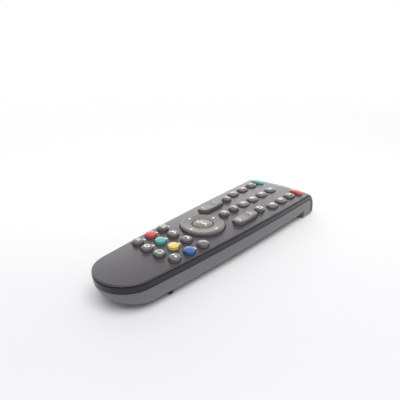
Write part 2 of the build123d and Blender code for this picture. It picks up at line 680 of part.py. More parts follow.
def keypad_mat():
    """The rubber sheet on the board, open under each stem, rocker and ring."""
    mat = slab(BOARD_TOP_Z, MAT_TOP_Z, side=MAT_INSET, far=BOARD_FAR_INSET) & beyond_y(BOARD_NEAR_Y)
    for x, y in SCREW_PLACES:
        mat -= post(x, y, BOSS_RADIUS + BOARD_HOLE_CLEARANCE, BOARD_TOP_Z, MAT_TOP_Z)
    for _, x, y, _, _, _ in KEYS.values():
        mat -= post(x, y, STEM_RADIUS + STEM_CLEARANCE, BOARD_TOP_Z, MAT_TOP_Z)
    for x in ROCKERS.values():
        mat -= extrude(Pos(x, ROCKER_MIDDLE_Y, BOARD_TOP_Z) * key_rocker(FLANGE_LIP + KEY_CLEARANCE), MAT_THICKNESS)
    return mat - post(0, RING_Y, RING_FLANGE_RADIUS + RING_CLEARANCE, BOARD_TOP_Z, MAT_TOP_Z)


def contact_pads():
    """The carbon pads on the board under the key stems."""
    places = [(x, y) for _, x, y, _, _, _ in KEYS.values()] + [(0, RING_Y)]
    return Compound([post(x, y, PAD_RADIUS, BOARD_TOP_Z, BOARD_TOP_Z + PAD_THICKNESS) for x, y in places])


def from_ring(place):
    """A place measured from the middle of the navigation ring, in the body's frame."""
    return place[0], RING_Y + place[1]


def under_board(size, place):
    """A box that hangs from the underside of the board."""
    x, y = from_ring(place)
    width, length, height = size
    top = BOARD_BOTTOM_Z - PART_GAP
    return block(x - width / 2, x + width / 2, y - length / 2, y + length / 2, top - height, top)


def controller_chip():
    """The controller with its two rows of legs."""
    width, length, height = CHIP_SIZE
    leg_width, leg_length, leg_height = CHIP_LEG_SIZE
    chip = under_board(CHIP_SIZE, CHIP_PLACE)
    x, middle_y = from_ring(CHIP_PLACE)
    first = middle_y - (CHIP_LEG_COUNT - 1) * CHIP_LEG_PITCH / 2
    top = BOARD_BOTTOM_Z - PART_GAP
    for leg in range(CHIP_LEG_COUNT):
        y = first + leg * CHIP_LEG_PITCH
        reach = width / 2 + leg_width
        foot = (x - reach, x + reach, y - leg_length / 2, y + leg_length / 2)
        chip += block(*foot, top - leg_height, top)
    return chip


def resonator():
    """The ceramic resonator that sets the signal's rate."""
    body = under_board(RESONATOR_SIZE, RESONATOR_PLACE)
    return fillet(body.edges().filter_by(Axis.Z), RESONATOR_SIZE[1] / 4)


def capacitor():
    """The electrolytic capacitor that lies under the board."""
    x, y = from_ring(CAPACITOR_PLACE)
    z = BOARD_BOTTOM_Z - PART_GAP - CAPACITOR_RADIUS
    can = lying_rod(x, y - CAPACITOR_LENGTH / 2, z, CAPACITOR_RADIUS, CAPACITOR_LENGTH)
    return fillet(can.edges().filter_by(GeomType.CIRCLE), CAPACITOR_RADIUS / 8)


def transistor():
    """The transistor that drives the light, a rod with one flat side."""
    x, y = from_ring(TRANSISTOR_PLACE)
    z = BOARD_BOTTOM_Z - PART_GAP - TRANSISTOR_RADIUS
    rod = lying_rod(x, y, z, TRANSISTOR_RADIUS, TRANSISTOR_LENGTH)
    flat_z = z - TRANSISTOR_RADIUS + TRANSISTOR_FLAT
    return rod - block(x - BEYOND, x + BEYOND, y, y + TRANSISTOR_LENGTH, z - BEYOND, flat_z)


def resistors():
    """The small resistors under the board."""
    return Compound([under_board(RESISTOR_SIZE, place) for place in RESISTOR_PLACES])


def ir_led():
    """The light behind the window: a rimmed body with a round nose and two leads."""
    z = BOARD_BOTTOM_Z - PART_GAP - LED_RIM_RADIUS
    body_start = LED_TIP_Y - LED_RADIUS - LED_BODY_LENGTH
    led = lying_rod(0, body_start, z, LED_RADIUS, LED_BODY_LENGTH)
    led += Pos(0, LED_TIP_Y - LED_RADIUS, z) * Sphere(LED_RADIUS)
    led += lying_rod(0, body_start, z, LED_RIM_RADIUS, LED_RIM_LENGTH)
    lead_top = BOARD_BOTTOM_Z - PART_GAP
    for hand in (-1, 1):
        x = hand * LED_LEAD_SPACING / 2
        half = LED_LEAD_WIDTH / 2
        lead_end = body_start - LED_LEAD_LENGTH
        led += block(x - half, x + half, lead_end, body_start, z - half, z + half)
        led += block(x - half, x + half, lead_end, lead_end + LED_LEAD_WIDTH, z - half, lead_top)
    return led


def cell(hand):
    """One AAA cell. The left one points its nub to the far end, the right one to the near end."""
    x = hand * CELL_SPACING / 2
    nub_end = BAY_FAR_Y - CONTACT_THICKNESS - CELL_CLEARANCE
    start = nub_end - CELL_NUB_LENGTH - CELL_LENGTH
    body = lying_rod(x, start, CELL_Z, CELL_RADIUS, CELL_LENGTH)
    body = fillet(body.edges().filter_by(GeomType.CIRCLE), CELL_NUB_LENGTH / 2)
    body += lying_rod(x, start + CELL_LENGTH, CELL_Z, CELL_NUB_RADIUS, CELL_NUB_LENGTH)
    if hand < 0:
        return body
    bay_middle = (BAY_NEAR_Y + BAY_FAR_Y) / 2
    return mirror(body, about=Plane.XZ.offset(-bay_middle))


def contact_plate(hand, end):
    """A sprung metal plate against one end of the bay, beside one cell."""
    x = hand * CELL_SPACING / 2
    y_low, y_high = (BAY_NEAR_Y, BAY_NEAR_Y + CONTACT_THICKNESS)
    if end == "far":
        y_low, y_high = (BAY_FAR_Y - CONTACT_THICKNESS, BAY_FAR_Y)
    half_width, half_height = CONTACT_WIDTH / 2, CONTACT_HEIGHT / 2
    return block(x - half_width, x + half_width, y_low, y_high, CELL_Z - half_height, CELL_Z + half_height)


def contact_spring(hand, end):
    """The conical spring that presses on a cell's flat end, closed up by the cell."""
    x = hand * CELL_SPACING / 2
    y = BAY_NEAR_Y + CONTACT_THICKNESS + SPRING_LENGTH / 2
    turn = -90
    if end == "far":
        y = BAY_FAR_Y - CONTACT_THICKNESS - SPRING_LENGTH / 2
        turn = 90
    cone = Cone(SPRING_BASE_RADIUS, SPRING_TIP_RADIUS, SPRING_LENGTH)
    bore = Cylinder(SPRING_TIP_RADIUS / 2, 2 * SPRING_LENGTH)
    return Pos(x, y, CELL_Z) * Rot(turn, 0, 0) * (cone - bore)


def battery_link_contact():
    """The near contact that joins the two cells: a spring for the left one, a flat for the right."""
    link = contact_plate(-1, "near") + contact_plate(1, "near") + contact_spring(-1, "near")
    half = CELL_SPACING / 2
    bridge = block(-half, half, BAY_NEAR_Y, BAY_NEAR_Y + CONTACT_THICKNESS, CELL_Z - 1, CELL_Z + 1)
    return link + bridge


def battery_spring_contact():
    """The far contact with the spring for the right cell's flat end."""
    return contact_plate(1, "far") + contact_spring(1, "far")


def battery_plus_contact():
    """The far contact for the left cell's nub."""
    return contact_plate(-1, "far")


def case_screws():
    """The three screws that pull the two shells together, with crossed slots in their heads."""
    screws = []
    for x, y in SCREW_PLACES:
        seat = screw_seat_z(y)
        head_bottom = seat - SCREW_HEAD_HEIGHT
        screw = post(x, y, SCREW_HEAD_RADIUS, head_bottom, seat)
        screw += post(x, y, SCREW_RADIUS, seat, BOARD_BOTTOM_Z + SCREW_REACH)
        slot_half, slot_reach = SCREW_HEAD_RADIUS / 6, SCREW_HEAD_RADIUS * 0.6
        slot_top = head_bottom + SCREW_HEAD_HEIGHT / 2
        screw -= block(x - slot_half, x + slot_half, y - slot_reach, y + slot_reach, head_bottom, slot_top)
        screw -= block(x - slot_reach, x + slot_reach, y - slot_half, y + slot_half, head_bottom, slot_top)
        screws.append(screw)
    return Compound(screws)


PARTS = {
    "top_cover": top_cover,
    "side_band": side_band,
    "ir_window": ir_window,
    "bottom_case": bottom_case,
    "battery_door": battery_door,
    "near_feet": near_feet,
    "case_screws": case_screws,
    "keypad_mat": keypad_mat,
    "circuit_board": circuit_board,
    "contact_pads": contact_pads,
    "controller_chip": controller_chip,
    "resonator": resonator,
    "capacitor": capacitor,
    "transistor": transistor,
    "resistors": resistors,
    "ir_led": ir_led,
    "battery_left": lambda: cell(-1),
    "battery_right": lambda: cell(1),
    "battery_link_contact": battery_link_contact,
    "battery_spring_contact": battery_spring_contact,
    "battery_plus_contact": battery_plus_contact,
    "nav_collar": nav_collar,
    "nav_ring": nav_ring,
    "key_ok": middle_key,
}


def main():
    """Write one STEP file per piece."""
    os.makedirs("parts", exist_ok=True)
    for name, make in PARTS.items():
        export_step(make(), f"parts/{name}.step")
    for name, x in ROCKERS.items():
        export_step(Pos(x, ROCKER_MIDDLE_Y, 0) * rocker(), f"parts/{name}.step")
    for name, (outline, x, y, turn, proud, flange_lip) in KEYS.items():
        key = plain_key(outline, proud, flange_lip)
        export_step(Pos(x, y, 0) * Rot(0, 0, turn) * key, f"parts/{name}.step")


main()
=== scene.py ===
"""The looks of a handheld remote control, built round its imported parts.

Metres, in the parts' own frame: +Y runs from the rounded near end to the far end with the infrared
window, +Z is up out of the key face, and the table is at zero. Sizes are written in millimetres and
multiplied by MM where they are used.
"""
import json

import bmesh
import bpy
import numpy as np
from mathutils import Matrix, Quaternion, Vector


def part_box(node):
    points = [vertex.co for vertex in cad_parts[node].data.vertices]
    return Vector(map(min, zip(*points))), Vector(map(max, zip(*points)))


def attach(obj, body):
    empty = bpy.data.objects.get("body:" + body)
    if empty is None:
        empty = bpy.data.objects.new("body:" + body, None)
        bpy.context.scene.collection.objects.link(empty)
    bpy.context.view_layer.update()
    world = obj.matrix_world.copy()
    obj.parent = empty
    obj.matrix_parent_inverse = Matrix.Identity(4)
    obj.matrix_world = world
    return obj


MM = 0.001
WHITE = "#FFFFFF"

# The camera of the photograph: its place, its angles in degrees and its lens and sensor.
CAMERA_PLACE = (151.0, -198.4, 133.75)
CAMERA_AZIMUTH = 39.6
CAMERA_ELEVATION = 22.31
CAMERA_ROLL = 0.16
CAMERA_LENS = 38.74
SENSOR_WIDTH = 36.0
# The nearest and the farthest that it sees, in metres.
CAMERA_NEAREST = 0.01
CAMERA_FARTHEST = 50.0

# Light levels of the room: for the object and the table, for reflections, and as the camera sees it.
ROOM_LIGHT = 0.56
ROOM_REFLECTED = 0.62
SKY_WHITE = 1.0

# The lamps: name, place and size in metres, power in watts, and whether they show in reflections alone.
# The overhead lamp keeps the shadow close to the case. The two others are the bright backdrop that the
# face mirrors towards its left edge and its far end, and the case at its far end.
LAMPS = (
    ("overhead_lamp", (0.28, -0.2, 0.86), (0.7, 0.7), 5.4, False),
    ("backdrop_lamp", (-0.82, 0.64, 0.25), (1.8, 0.46), 8.5, True),
    ("side_backdrop_lamp", (0.35, 0.95, 0.12), (0.8, 0.24), 4.5, True),
)

# The table, in metres. It greys towards the camera between two places along the view, as painted shade,
# and it fades into the white of the room between two distances from the object.
TABLE_NEAR = -0.12
TABLE_FAR = 0.12
TABLE_FADE_START = 0.2
TABLE_FADE_END = 0.7
TABLE_REACH = 12.0
TABLE_SHADE_GREY = "#EBEBED"
TABLE_ROUGHNESS = 0.7

# The surfaces that the prints lie on, as the parts have them.
COVER_HALF_WIDTH = 25.3
COVER_CROWN = 0.55
FACE_HEIGHT = 18.4
DOME_DROP = 0.55
NUMBER_REACH = 3.9
SMALL_REACH = 3.15
MIDDLE_REACH = 6.3
RING_CREST_RADIUS = 12.5
RING_INNER_RADIUS = 6.9
RING_INNER_DROP = 0.45

# The openings in the face: the half sizes and corners of the caps in them, and the clearance round them.
NUMBER_CAP = (3.4, 3.9, 2.9)
ROCKER_CAP = (3.7, 10.7, 3.7)
RING_RADIUS = 13.6
KEY_CLEARANCE = 0.25
WIDE_CLEARANCE = 0.4
# The width of the painted shade round each opening, and its points round a small key and round the ring.
OPENING_SHADE_WIDTH = 0.45
SMALL_EDGE_POINTS = 49
RING_EDGE_POINTS = 97

# The joints between the mouldings: the window's outline on the sides, of whose upright edge only every
# few points are taken, the steps along the joints, and the width of the lines of painted shade in the
# joints and how far they stand over the plastic.
WINDOW_START_Y = 79.8
WINDOW_EDGE_Y = 84.4
WINDOW_BOTTOM_Z = 2.6
WINDOW_CORNER_POINTS = 9
WINDOW_EDGE_SKIP = 4
FAR_CORNER_Y = 88.0
TIP_CENTRE_Y = -64.5
TIP_STEP_DEGREES = 3
SEAM_STEP = 2.0
SEAM_WIDTH = 0.65
SEAM_LIFT = 0.04
# The distance from the middle from which the joints are looked for.
OUTSIDE = 60.0

# The plastics: how strongly they mirror, and the size and detail of the faint clouds in their colour.
PLASTIC_IOR = 1.49
CLOUD_SIZE = 9.0
CLOUD_DETAIL = 3.0
GRAIN_DETAIL = 2.0

# The drawn lines of the plated steel: how much finer they are one way than the other, and their depth.
BRUSH_FINENESS = 12.0
BRUSH_STRENGTH = 0.4
BRUSH_DEPTH = 0.02

# The prints: their line width, how far they stand over the plastic, how deep they reach into it, the
# longest step that still follows a dome, and the points on a rounded corner.
PRINT_LINE = 0.6
PRINT_LIFT = 0.03
PRINT_SINK = 0.06
PRINT_STEP = 0.25
CORNER_POINTS = 7

# The letters: the font's size and thickening over the height of a capital, the depth of the slab before
# it is laid on the plastic, and the cuts in its edges that let it follow a dome.
FONT_SIZE = 1.35
FONT_THICKENING = 0.02
FONT_SLAB = 1.0
TEXT_CUTS = 3
NUMERAL_HEIGHT = 3.7
NUMERAL_STRETCH = 1.3
NUMERAL_SHIFT = (-0.4, 0.2)
OK_HEIGHT = 3.1
OK_STRETCH = 1.45

# The arrows on the ring, the symbols along the rockers, and the short marks beside some of the keys.
ARROW_RADIUS = 10.9
ARROW_LENGTH = 1.9
ARROW_WIDTH = 2.4
ARROW_TIP_WIDTH = 0.05
ROCKER_MARK_NEAR = -7.4
ROCKER_MARK_FAR = 4.8
BESIDE_KEY = (-0.8, 5.5)
BESIDE_HALF_LENGTH = 1.0
BESIDE_WIDTH = 0.9
MARKED_BESIDE = (
    "key_red",
    "key_green",
    "key_yellow",
    "key_blue",
    "key_list",
    "key_record",
    "key_picture",
    "key_return",
)


def linear(hex_colour):
    """An sRGB hex colour as the linear RGBA that shaders take."""
    channels = np.array([int(hex_colour[i : i + 2], 16) for i in (1, 3, 5)]) / 255
    low = channels / 12.92
    high = ((channels + 0.055) / 1.055) ** 2.4
    return (*np.where(channels <= 0.04045, low, high).tolist(), 1.0)


def add_node(tree, kind, settings=None, inputs=None):
    """Adds one node with its settings, and fills or links its inputs."""
    node = tree.nodes.new(kind)
    for name, value in (settings or {}).items():
        setattr(node, name, value)
    for name, value in (inputs or {}).items():
        if isinstance(value, bpy.types.NodeSocket):
            tree.links.new(value, node.inputs[name])
        else:
            node.inputs[name].default_value = value
    return node


def new_material(name):
    """An empty material and its node tree."""
    material = bpy.data.materials.new(name)
    material.use_nodes = True
    material.node_tree.nodes.clear()
    return material, material.node_tree


def moulded_plastic(name, hex_colour, roughness, grain_mm=0.0, grain_depth=0.0, mottle=0.04):
    """Injection-moulded plastic: an even colour with the faint cloudiness of the resin, and the tool's
    fine spark grain where it has one, which breaks up the sheen."""
    material, tree = new_material(name)
    place = add_node(tree, "ShaderNodeTexCoord").outputs["Object"]
    cloud = add_node(
        tree,
        "ShaderNodeTexNoise",
        {},
        {"Vector": place, "Scale": 1 / (CLOUD_SIZE * MM), "Detail": CLOUD_DETAIL},
    )
    base = linear(hex_colour)
    dark = tuple(c * (1 - mottle) for c in base[:3]) + (1.0,)
    light = tuple(min(1.0, c * (1 + mottle)) for c in base[:3]) + (1.0,)
    colour = add_node(
        tree,
        "ShaderNodeMix",
        {"data_type": "RGBA"},
        {"Factor": cloud.outputs["Fac"], 6: dark, 7: light},
    )
    shader = add_node(
        tree,
        "ShaderNodeBsdfPrincipled",
        {},
        {"Base Color": colour.outputs[2], "Roughness": roughness, "IOR": PLASTIC_IOR},
    )
    if grain_mm:
        grain = add_node(
            tree,
            "ShaderNodeTexNoise",
            {},
            {"Vector": place, "Scale": 1 / (grain_mm * MM), "Detail": GRAIN_DETAIL},
        )
        bump = add_node(
            tree,
            "ShaderNodeBump",
            {},
            {"Height": grain.outputs["Fac"], "Strength": 1.0, "Distance": grain_depth * MM},
        )
        tree.links.new(bump.outputs["Normal"], shader.inputs["Normal"])
    add_node(tree, "ShaderNodeOutputMaterial", {}, {"Surface": shader.outputs["BSDF"]})
    return material


def plated_steel(name, hex_colour, roughness, brush_mm):
    """Plated steel: a bright metal with fine drawn lines that spread its highlight."""
    material, tree = new_material(name)
    place = add_node(tree, "ShaderNodeTexCoord").outputs["Object"]
    along = add_node(
        tree, "ShaderNodeMapping", {}, {"Vector": place, "Scale": (1.0, BRUSH_FINENESS, 1.0)}
    )
    lines = add_node(
        tree,
        "ShaderNodeTexNoise",
        {},
        {"Vector": along.outputs["Vector"], "Scale": 1 / (brush_mm * MM), "Detail": GRAIN_DETAIL},
    )
    bump = add_node(
        tree,
        "ShaderNodeBump",
        {},
        {"Height": lines.outputs["Fac"], "Strength": BRUSH_STRENGTH, "Distance": BRUSH_DEPTH * MM},
    )
    shader = add_node(
        tree,
        "ShaderNodeBsdfPrincipled",
        {},
        {
            "Base Color": linear(hex_colour),
            "Metallic": 1.0,
            "Roughness": roughness,
            "Normal": bump.outputs["Normal"],
        },
    )
    add_node(tree, "ShaderNodeOutputMaterial", {}, {"Surface": shader.outputs["BSDF"]})
    return material


def print_ink():
    """Screen-printed ink: flat warm white, a little duller than the plastic under it."""
    return moulded_plastic("white_print_ink", "#F1F0EC", 0.55, mottle=0.02)


def joint_line_material():
    """Painted shade in the joints between the mouldings and round the keys, as near-black plastic."""
    return moulded_plastic("painted_joint_shade_line", "#0B0A0C", 0.6)


def make_materials():
    """One material for each slot of the record, by slot name."""
    return {
        # Spark-grained ABS, painted satin grey with a hint of violet: a soft sheen to the far end.
        "cover_plastic": moulded_plastic("cover_satin_abs", "#433E45", 0.36, 0.7, 0.006),
        # Polished dark ABS: a hard, bright highlight.
        "band_plastic": moulded_plastic("band_polished_abs", "#110E13", 0.12),
        # Infrared-clear polycarbonate: nearly black with a plum cast, and glossy.
        "window_plastic": moulded_plastic("window_dark_polycarbonate", "#1A1719", 0.12),
        # Grained ABS of the lower shell and its door: a wide, soft highlight.
        "case_plastic": moulded_plastic("case_grained_abs", "#69696D", 0.34, 0.8, 0.008),
        "door_plastic": moulded_plastic("door_grained_abs", "#68686C", 0.34, 0.8, 0.008),
        # Rubber, dull and dark underneath, smoother and paler in the keypad.
        "foot_rubber": moulded_plastic("foot_soft_rubber", "#2C2B2D", 0.7, 0.5, 0.02),
        "mat_rubber": moulded_plastic("mat_silicone_rubber", "#77787A", 0.6),
        # Metals with fine drawn lines, from the soft sheen of the cells to the brighter contacts.
        "screw_steel": plated_steel("screw_zinc_plate", "#B6B8BB", 0.35, 0.6),
        "cell_jacket": plated_steel("cell_bare_steel_jacket", "#A6A8AC", 0.4, 0.8),
        "contact_steel": plated_steel("contact_nickel_plate", "#BEBEBA", 0.3, 0.5),
        # The board and what is on it, from glossy lacquer to dull ink.
        "board_laminate": moulded_plastic("board_lacquered_laminate", "#3B6A3D", 0.3),
        "pad_carbon": moulded_plastic("pad_carbon_ink", "#1C1C1E", 0.6),
        "chip_resin": moulded_plastic("chip_moulded_epoxy", "#232325", 0.55, 0.4, 0.01),
        "resonator_resin": moulded_plastic("resonator_dipped_resin", "#BC7834", 0.3),
        "capacitor_can": moulded_plastic("capacitor_shrink_sleeve", "#343C62", 0.35),
        "transistor_resin": moulded_plastic("transistor_moulded_epoxy", "#202022", 0.55),
        "resistor_ceramic": moulded_plastic("resistor_glazed_ceramic", "#262628", 0.4),
        "led_resin": moulded_plastic("led_tinted_epoxy", "#463C5C", 0.1),
        "collar_plastic": moulded_plastic("collar_white_acetal", "#C8C8C4", 0.5),
        # Keys of satin ABS, a warm grey that is lighter than the cover, and the coloured ones.
        "ring_plastic": moulded_plastic("ring_satin_abs", "#6E6C67", 0.42),
        "key_plastic": moulded_plastic("key_satin_abs", "#706F69", 0.42),
        "red_key_plastic": moulded_plastic("red_key_abs", "#D45B59", 0.4),
        "green_key_plastic": moulded_plastic("green_key_abs", "#5DB1A6", 0.4),
        "yellow_key_plastic": moulded_plastic("yellow_key_abs", "#E9CF74", 0.4),
        "blue_key_plastic": moulded_plastic("blue_key_abs", "#3A6AA5", 0.4),
        "guide_key_plastic": moulded_plastic("guide_key_abs", "#67B0A8", 0.4),
        "power_key_plastic": moulded_plastic("power_key_abs", "#C95C4F", 0.4),
    }


def dress_nodes(frame, materials):
    """Gives each part the material of its slot."""
    for subpart in frame["record"]["subparts"]:
        node = frame["nodes"][subpart["node"]]
        node.data.materials.clear()
        node.data.materials.append(materials[subpart["material_slot"]])


def mesh_piece(name, points, faces, material, body):
    """A mesh object at the origin that rides on one body."""
    mesh = bpy.data.meshes.new(name)
    mesh.from_pydata((np.asarray(points) * MM).tolist(), [], faces)
    mesh.update()
    mesh.materials.append(material)
    piece = bpy.data.objects.new(name, mesh)
    bpy.context.scene.collection.objects.link(piece)
    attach(piece, body)
    return piece


def line(*corners):
    """Points along straight runs between corners, a PRINT_STEP apart or closer."""
    corners = np.array(corners, float)
    lengths = np.linalg.norm(np.diff(corners, axis=0), axis=1)
    counts = [max(2, int(np.ceil(length / PRINT_STEP)) + 1) for length in lengths]
    steps = [np.linspace(0, 1, count)[:-1] for count in counts]
    runs = [a + np.outer(t, b - a) for a, b, t in zip(corners[:-1], corners[1:], steps)]
    return np.vstack([*runs, corners[-1:]])


def arc(x, y, radius_x, radius_y, start, end, count=25):
    """Points along an elliptical arc, angles in degrees from +X."""
    angles = np.radians(np.linspace(start, end, count))
    return np.column_stack([x + radius_x * np.cos(angles), y + radius_y * np.sin(angles)])


def rounded_box(half_width, half_height, corner):
    """A closed rounded rectangle about the middle."""
    w, h = half_width - corner, half_height - corner
    turns = [(w, h, 0), (-w, h, 90), (-w, -h, 180), (w, -h, 270)]
    arcs = [arc(x, y, corner, corner, start, start + 90, CORNER_POINTS) for x, y, start in turns]
    path = np.vstack(arcs)
    return line(*path, path[0])


def stroke(path, width=PRINT_LINE, end_width=None):
    """A line of ink in plan: the path's points, each with a half width. The width runs evenly from one
    end's to the other's."""
    end_width = width if end_width is None else end_width
    return path, np.linspace(width, end_width, len(path)) / 2


def directions(path):
    """Unit directions along a path, the same at both ends of a closed one."""
    ahead = np.gradient(path, axis=0)
    if np.allclose(path[0], path[-1]):
        ahead[[0, -1]] = path[1] - path[-2]
    return ahead / np.linalg.norm(ahead, axis=1)[:, None]


def ribbon_faces(count):
    """The faces of a four-cornered profile carried through a number of points, with its two ends."""
    first = 4 * np.arange(count - 1)[:, None]
    corner = np.arange(4)[None, :]
    following = (corner + 1) % 4
    sides = (first + corner, first + following, first + 4 + following, first + 4 + corner)
    walls = np.stack(sides, axis=-1).reshape(-1, 4)[:, ::-1].tolist()
    last = 4 * (count - 1)
    return walls + [[0, 1, 2, 3], [last + 3, last + 2, last + 1, last]]


def ink_ribbon(path, half_widths, height):
    """The corners and faces of one stroke: a flat four-cornered profile carried along the path. At each
    point the profile's corners lie half a width to either side, PRINT_LIFT over and PRINT_SINK under
    the height of the plastic there."""
    ahead = directions(path)
    across = np.column_stack([-ahead[:, 1], ahead[:, 0]]) * half_widths[:, None]
    left, right = path + across, path - across
    over, under = PRINT_LIFT, -PRINT_SINK
    corners = [
        np.column_stack([side, height(side[:, 0], side[:, 1]) + offset])
        for side, offset in ((left, under), (left, over), (right, over), (right, under))
    ]
    return np.stack(corners, axis=1).reshape(-1, 3), ribbon_faces(len(path))


def print_marks(name, strokes, middle, height, material, body):
    """One piece of ink from several strokes, about a point on a part."""
    points, faces, count = [], [], 0
    for path, half_widths in strokes:
        stroke_points, stroke_faces = ink_ribbon(path + np.array(middle), half_widths, height)
        points.append(stroke_points)
        faces += [[index + count for index in face] for face in stroke_faces]
        count += len(stroke_points)
    return mesh_piece(name, np.vstack(points), faces, material, body)


def print_text(name, text, size, stretch, middle, height, material, body):
    """Plain upright letters or a numeral, widened by the stretch, as a thin slab that follows the
    height of the plastic."""
    curve = bpy.data.curves.new(name, "FONT")
    curve.body = text
    curve.align_x = "CENTER"
    curve.align_y = "CENTER"
    curve.size = size * FONT_SIZE
    curve.offset = size * FONT_THICKENING
    curve.extrude = FONT_SLAB
    source = bpy.data.objects.new(name + "_source", curve)
    bpy.context.scene.collection.objects.link(source)
    bpy.context.view_layer.update()
    flat_source = source.evaluated_get(bpy.context.evaluated_depsgraph_get())
    mesh = bpy.data.meshes.new_from_object(flat_source)
    bpy.data.objects.remove(source)
    fine = bmesh.new()
    fine.from_mesh(mesh)
    bmesh.ops.triangulate(fine, faces=fine.faces)
    bmesh.ops.subdivide_edges(fine, edges=fine.edges, cuts=TEXT_CUTS, use_grid_fill=True)
    fine.to_mesh(mesh)
    fine.free()
    points = np.empty(3 * len(mesh.vertices))
    mesh.vertices.foreach_get("co", points)
    points = points.reshape(-1, 3)
    centre = (points[:, :2].min(axis=0) + points[:, :2].max(axis=0)) / 2
    points[:, :2] = (points[:, :2] - centre) * (stretch, 1) + middle
    offset = np.where(points[:, 2] > 0, PRINT_LIFT, -PRINT_SINK)
    points[:, 2] = height(points[:, 0], points[:, 1]) + offset
    mesh.vertices.foreach_set("co", (points * MM).ravel())
    mesh.update()
    mesh.materials.clear()
    mesh.materials.append(material)
    piece = bpy.data.objects.new(name, mesh)
    bpy.context.scene.collection.objects.link(piece)
    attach(piece, body)
    return piece


def middle_of(node):
    """The middle of a part in plan and the height of its top, in millimetres."""
    low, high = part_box(node)
    return ((low[0] + high[0]) / 2 / MM, (low[1] + high[1]) / 2 / MM), high[2] / MM


def dome_height(node, reach):
    """The height of a domed key: its top, less DOME_DROP times the square of the distance over the
    reach."""
    (x, y), top = middle_of(node)
    return lambda px, py: top - DOME_DROP * ((px - x) ** 2 + (py - y) ** 2) / reach**2


def flat_height(node):
    """The height of a flat key: its top everywhere."""
    _, top = middle_of(node)
    return lambda px, py: np.full(len(px), top)


def ring_height(node):
    """The height of the ring, which falls evenly from its crest to its hole."""
    (x, y), top = middle_of(node)
    fall = RING_INNER_DROP / (RING_CREST_RADIUS - RING_INNER_RADIUS)
    return lambda px, py: top - fall * (RING_CREST_RADIUS - np.hypot(px - x, py - y))


def cover_height(px, py):
    """The height of the key face, which falls by COVER_CROWN at its sides and not along it."""
    return FACE_HEIGHT - COVER_CROWN * (px / COVER_HALF_WIDTH) ** 2 + 0 * py


def small_key_marks():
    """The plain symbol on each small key, as strokes about its middle."""
    low_arch = np.vstack([line((-2.1, 0.5), (-1.5, 0.9)), line((-1.3, 0.9), (1.0, 0.5), (1.9, -0.7))])
    wave = np.vstack([line((-2.0, 0.2), (-1.2, 0.8)), line((-1.0, 0.8), (0.9, -0.3), (2.0, 0.2))])
    return {
        "key_source": [stroke(line((-1.7, 0.1), (1.7, 0.1)), 1.1)],
        "key_display": [stroke(rounded_box(1.75, 1.2, 0.4), 0.7)],
        "key_menu": [stroke(wave, 0.75)],
        "key_return": [
            stroke(line((-1.6, -0.2), (1.6, -0.2)), 1.6),
            stroke(line((-2.1, 0.9), (2.1, 0.9)), 0.5),
        ],
        "key_picture": [
            stroke(rounded_box(1.6, 1.15, 0.3), 0.55),
            stroke(line((-0.5, 0), (0.5, 0)), 0.6),
            stroke(line((1.5, -0.9), (2.1, -1.4)), 0.55),
        ],
        "key_sound": [
            stroke(line((-2.1, -0.9), (-1.0, 0.9), (0, -0.5), (1.0, 0.9), (2.1, -0.9)), 0.75),
        ],
        "key_swap": [stroke(low_arch, 0.85)],
        "key_mute": [
            stroke(line((-1.3, -1.3), (1.3, 1.3)), 0.55),
            stroke(line((0.5, 0.9), (1.7, 0.9)), 0.4),
        ],
        "key_list": [stroke(line((-1.6, y), (1.6, y)), 0.4) for y in (-0.8, 0, 0.8)],
        "key_record": [stroke(arc(0, 0, 1.4, 1.05, 0, 360), 0.75)],
        "key_page": [stroke(rounded_box(1.9, 1.3, 0.6), 0.5)],
        "key_zoom": [
            stroke(line((-1.9, 0.4), (-0.3, 0.1)), 1.2),
            stroke(line((0.4, -0.4), (1.8, -0.4)), 1.2),
        ],
    }


def rocker_marks():
    """The symbols at the near and far end of each rocker."""
    wedge = stroke(line((-2.1, 0), (-0.5, 0)), 0.2, 1.9)
    peak = stroke(line((-1.3, 0.9), (-1.3, -0.8)), 0.2, 1.9)
    minus = stroke(line((0.4, -0.3), (1.9, -0.3)), 0.5)
    hook = stroke(line((-1.9, -0.5), (-0.9, 0.8), (0.9, 0.6), (1.8, -0.8)), 0.75)
    return {"rocker_left": ([wedge, minus], [peak, minus]), "rocker_right": ([hook], [hook])}


def arrow_marks():
    """Four arrowheads that point away from the middle of the ring."""
    start, end = ARROW_RADIUS - ARROW_LENGTH / 2, ARROW_RADIUS + ARROW_LENGTH / 2
    arrows = []
    for turn in np.radians((0, 90, 180, 270)):
        ahead = np.array([np.cos(turn), np.sin(turn)])
        arrows.append(stroke(line(ahead * start, ahead * end), ARROW_WIDTH, ARROW_TIP_WIDTH))
    return arrows


